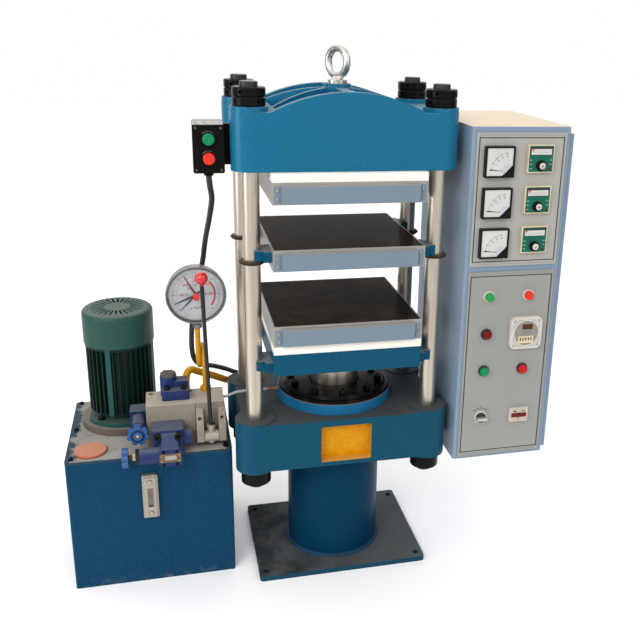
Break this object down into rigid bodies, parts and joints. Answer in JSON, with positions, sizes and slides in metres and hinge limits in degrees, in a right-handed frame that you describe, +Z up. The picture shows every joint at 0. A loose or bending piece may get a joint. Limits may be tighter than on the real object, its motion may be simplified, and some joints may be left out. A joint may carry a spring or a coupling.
{
  "type": "vulcanizing press",
  "caption": "Column upstroke vulcanizing press with heated platens over two daylights, a hydraulic unit with hand valve and gauge, and a hung control cabinet.",
  "frame": {"origin": "centre of the base plate's underside on the floor, on the ram axis", "axes": "+Z up along the ram, +X to the right along the press's front, +Y to the back"},
  "size_m": [1.358, 0.493, 1.478],
  "materials": {
    "base_grey": "worn paint",
    "hammer_blue": "gloss hammer paint",
    "polished_steel": "ground",
    "black_steel": "oil black",
    "zinc_steel": "zinc",
    "gland_black": "gloss",
    "insulation_ivory": "board",
    "plate_steel": "oiled",
    "cover_blue": "gloss",
    "tank_blue": "hammer paint",
    "lid_grey": "dusty paint",
    "level_metal": "satin",
    "primer_brown": "primer",
    "motor_green": "gloss",
    "pump_iron": "as cast",
    "valve_cream": "as cast",
    "valve_navy": "gloss",
    "gauge_black": "gloss",
    "clear_glass": "clear",
    "pipe_yellow": "gloss",
    "hose_grey": "matt",
    "conduit_black": "matt",
    "box_black": "gloss",
    "cabinet_blue": "hammer paint",
    "panel_silver": "satin",
    "meter_black": "gloss",
    "controller_cream": "gloss",
    "indicator_grey": "gloss",
    "lever_steel": "gloss",
    "wheel_blue": "gloss",
    "pointer_black": "matt",
    "knob_red": "gloss",
    "knob_black": "gloss",
    "button_green": "gloss",
    "button_red": "gloss",
    "rotor_steel": "ground",
    "cap_orange": "dusty paint"
  },
  "bodies": {
    "press_frame": {"base_plate": "base_grey", "cylinder_barrel": "hammer_blue", "lower_beam": "hammer_blue", "columns": "polished_steel", "crown_beam": "hammer_blue", "column_nuts": "black_steel", "lifting_eyebolt": "zinc_steel", "gland_ring": "gland_black", "gland_bolts": "black_steel", "upper_insulation": "insulation_ivory", "upper_heat_plate": "plate_steel", "upper_plate_cover": "cover_blue", "support_rings": "black_steel", "oil_tank": "tank_blue", "tank_lid": "lid_grey", "level_gauge": "level_metal", "motor_mount_ring": "primer_brown", "motor_housing": "motor_green", "motor_fan_cowl": "motor_green", "gear_pump": "pump_iron", "manifold_block": "valve_cream", "relief_valve": "valve_navy", "side_valve": "valve_navy", "top_valve": "valve_navy", "hand_valve": "valve_cream", "gauge_case": "gauge_black", "gauge_glass": "clear_glass", "gauge_siphon": "pipe_yellow", "pressure_pipe": "pipe_yellow", "drain_hose": "hose_grey", "button_conduit": "conduit_black", "button_box": "box_black", "cabinet_shell": "cabinet_blue", "instrument_panels": "panel_silver", "ammeters": "meter_black", "temperature_controllers": "controller_cream", "panel_indicators": "indicator_grey"},
    "ram_table": {"ram": "polished_steel", "moving_table": "hammer_blue", "lower_insulation": "insulation_ivory", "lower_heat_plate": "plate_steel", "lower_plate_cover": "cover_blue"},
    "middle_platen": {"middle_heat_plate": "plate_steel", "middle_guides": "hammer_blue", "middle_plate_cover": "cover_blue"},
    "hand_lever_body": {"hand_lever": "lever_steel"},
    "relief_handwheel_body": {"relief_handwheel": "wheel_blue"},
    "side_handwheel_body": {"side_handwheel": "wheel_blue"},
    "gauge_pointer_body": {"gauge_pointer": "pointer_black"},
    "gauge_set_knob_body": {"gauge_set_knob": "knob_red"},
    "temperature_knob_upper_body": {"temperature_knob_upper": "knob_black"},
    "temperature_knob_middle_body": {"temperature_knob_middle": "knob_black"},
    "temperature_knob_lower_body": {"temperature_knob_lower": "knob_black"},
    "station_start_button_body": {"station_start_button": "button_green"},
    "station_stop_button_body": {"station_stop_button": "button_red"},
    "panel_start_button_body": {"panel_start_button": "button_green"},
    "panel_stop_button_body": {"panel_stop_button": "button_red"},
    "selector_knob_body": {"selector_knob": "knob_black"},
    "motor_rotor_body": {"motor_rotor": "rotor_steel"},
    "filler_cap_body": {"filler_cap": "cap_orange"}
  },
  "joints": [
    {"name": "ram_lift", "type": "slide", "parent": "press_frame", "child": "ram_table", "axis": [0, 0, 1], "range_m": [0, 0.262]},
    {"name": "middle_lift", "type": "slide", "parent": "press_frame", "child": "middle_platen", "axis": [0, 0, 1], "range_m": [0, 0.1152]},
    {"name": "lever_swing", "type": "hinge", "parent": "press_frame", "child": "hand_lever_body", "pos_m": [-0.3625, -0.087, 0.426], "axis": [1, 0, 0], "range_deg": [-3, 38]},
    {"name": "relief_turn", "type": "hinge", "parent": "press_frame", "child": "relief_handwheel_body", "pos_m": [-0.584, -0.146, 0.411], "axis": [1, 0, 0], "range_deg": [-720, 720]},
    {"name": "side_turn", "type": "hinge", "parent": "press_frame", "child": "side_handwheel_body", "pos_m": [-0.5575, -0.103, 0.457], "axis": [0, 1, 0], "range_deg": [-720, 720]},
    {"name": "pointer_turn", "type": "hinge", "parent": "press_frame", "child": "gauge_pointer_body", "pos_m": [-0.386, 0.0085, 0.808], "axis": [0, 1, 0], "range_deg": [0, 270]},
    {"name": "limit_turn", "type": "hinge", "parent": "press_frame", "child": "gauge_set_knob_body", "pos_m": [-0.386, -0.001, 0.808], "axis": [0, 1, 0], "range_deg": [-22, 165]},
    {"name": "knob_upper_turn", "type": "hinge", "parent": "press_frame", "child": "temperature_knob_upper_body", "pos_m": [0.5055, -0.209, 1.19], "axis": [0, 1, 0], "range_deg": [0, 270]},
    {"name": "knob_middle_turn", "type": "hinge", "parent": "press_frame", "child": "temperature_knob_middle_body", "pos_m": [0.5055, -0.209, 1.081], "axis": [0, 1, 0], "range_deg": [0, 270]},
    {"name": "knob_lower_turn", "type": "hinge", "parent": "press_frame", "child": "temperature_knob_lower_body", "pos_m": [0.5055, -0.209, 0.972], "axis": [0, 1, 0], "range_deg": [0, 270]},
    {"name": "station_start_press", "type": "slide", "parent": "press_frame", "child": "station_start_button_body", "axis": [0, 1, 0], "range_m": [0, 0.004], "stiffness_N_per_m": 500},
    {"name": "station_stop_press", "type": "slide", "parent": "press_frame", "child": "station_stop_button_body", "axis": [0, 1, 0], "range_m": [0, 0.004], "stiffness_N_per_m": 500},
    {"name": "panel_start_press", "type": "slide", "parent": "press_frame", "child": "panel_start_button_body", "axis": [0, 1, 0], "range_m": [0, 0.004], "stiffness_N_per_m": 500},
    {"name": "panel_stop_press", "type": "slide", "parent": "press_frame", "child": "panel_stop_button_body", "axis": [0, 1, 0], "range_m": [0, 0.004], "stiffness_N_per_m": 500},
    {"name": "selector_turn", "type": "hinge", "parent": "press_frame", "child": "selector_knob_body", "pos_m": [0.3895, -0.203, 0.466], "axis": [0, 1, 0], "range_deg": [-45, 45]},
    {"name": "motor_spin", "type": "hinge", "parent": "press_frame", "child": "motor_rotor_body", "pos_m": [-0.603, 0.134, 0.55], "axis": [0, 0, 1], "continuous": true},
    {"name": "filler_turn", "type": "hinge", "parent": "press_frame", "child": "filler_cap_body", "pos_m": [-0.686, -0.06, 0.395], "axis": [0, 0, 1], "range_deg": [0, 90]}
  ],
  "couplings": [
    {"joint": "middle_lift", "follows": "ram_lift", "ratio": 0.43893}
  ]
}
